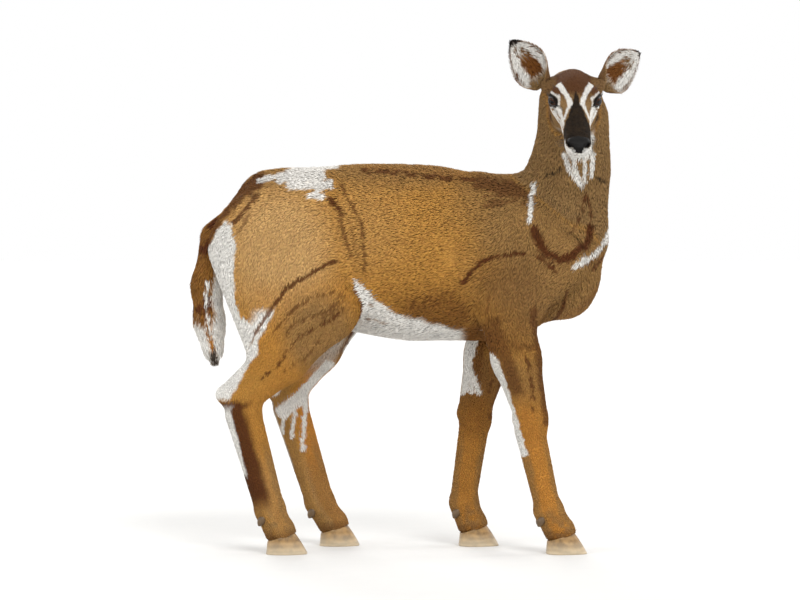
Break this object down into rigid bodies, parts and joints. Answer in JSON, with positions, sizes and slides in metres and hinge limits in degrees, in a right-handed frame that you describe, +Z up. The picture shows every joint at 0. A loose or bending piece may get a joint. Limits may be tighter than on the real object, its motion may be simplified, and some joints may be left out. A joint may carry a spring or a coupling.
{
  "type": "white-tailed deer doe, life-size still model",
  "caption": "Life-size still doe of the white-tailed deer, standing with her head turned to her right and her tail hanging.",
  "frame": {"origin": "on the floor under the middle of the outline seen from above", "axes": "+X from tail to chest, +Y to the deer's left, +Z up"},
  "size_m": [1.1014, 0.4206, 1.2485],
  "materials": {
    "body_coat": "matte short fur",
    "neck_coat": "matte short fur",
    "face_coat": "very short fur",
    "white_coat": "white short fur",
    "ear_coat": "very short fur",
    "tail_coat": "long fur",
    "leg_coat": "very short fur",
    "nose_skin": "moist bare skin",
    "horn": "satin hoof horn",
    "eye": "wet dark eye"
  },
  "bodies": {
    "root": {"head": "face_coat", "lower_jaw": "white_coat", "nose": "nose_skin", "ear_right": "ear_coat", "eye_right": "eye", "ear_left": "ear_coat", "eye_left": "eye", "neck": "neck_coat", "trunk_chest": "body_coat", "trunk_barrel": "body_coat", "trunk_rump": "body_coat", "tail": "tail_coat", "foreleg_right_upper": "body_coat", "foreleg_right_cannon": "leg_coat", "foreleg_right_foot": "leg_coat", "foreleg_right_hoof_outer": "horn", "foreleg_right_dewclaw_outer": "horn", "foreleg_right_hoof_inner": "horn", "foreleg_right_dewclaw_inner": "horn", "foreleg_left_upper": "body_coat", "foreleg_left_cannon": "leg_coat", "foreleg_left_foot": "leg_coat", "foreleg_left_hoof_outer": "horn", "foreleg_left_dewclaw_outer": "horn", "foreleg_left_hoof_inner": "horn", "foreleg_left_dewclaw_inner": "horn", "hindleg_right_upper": "body_coat", "hindleg_right_cannon": "leg_coat", "hindleg_right_foot": "leg_coat", "hindleg_right_hoof_outer": "horn", "hindleg_right_dewclaw_outer": "horn", "hindleg_right_hoof_inner": "horn", "hindleg_right_dewclaw_inner": "horn", "hindleg_left_upper": "body_coat", "hindleg_left_cannon": "leg_coat", "hindleg_left_foot": "leg_coat", "hindleg_left_hoof_outer": "horn", "hindleg_left_dewclaw_outer": "horn", "hindleg_left_hoof_inner": "horn", "hindleg_left_dewclaw_inner": "horn"}
  },
  "joints": []
}
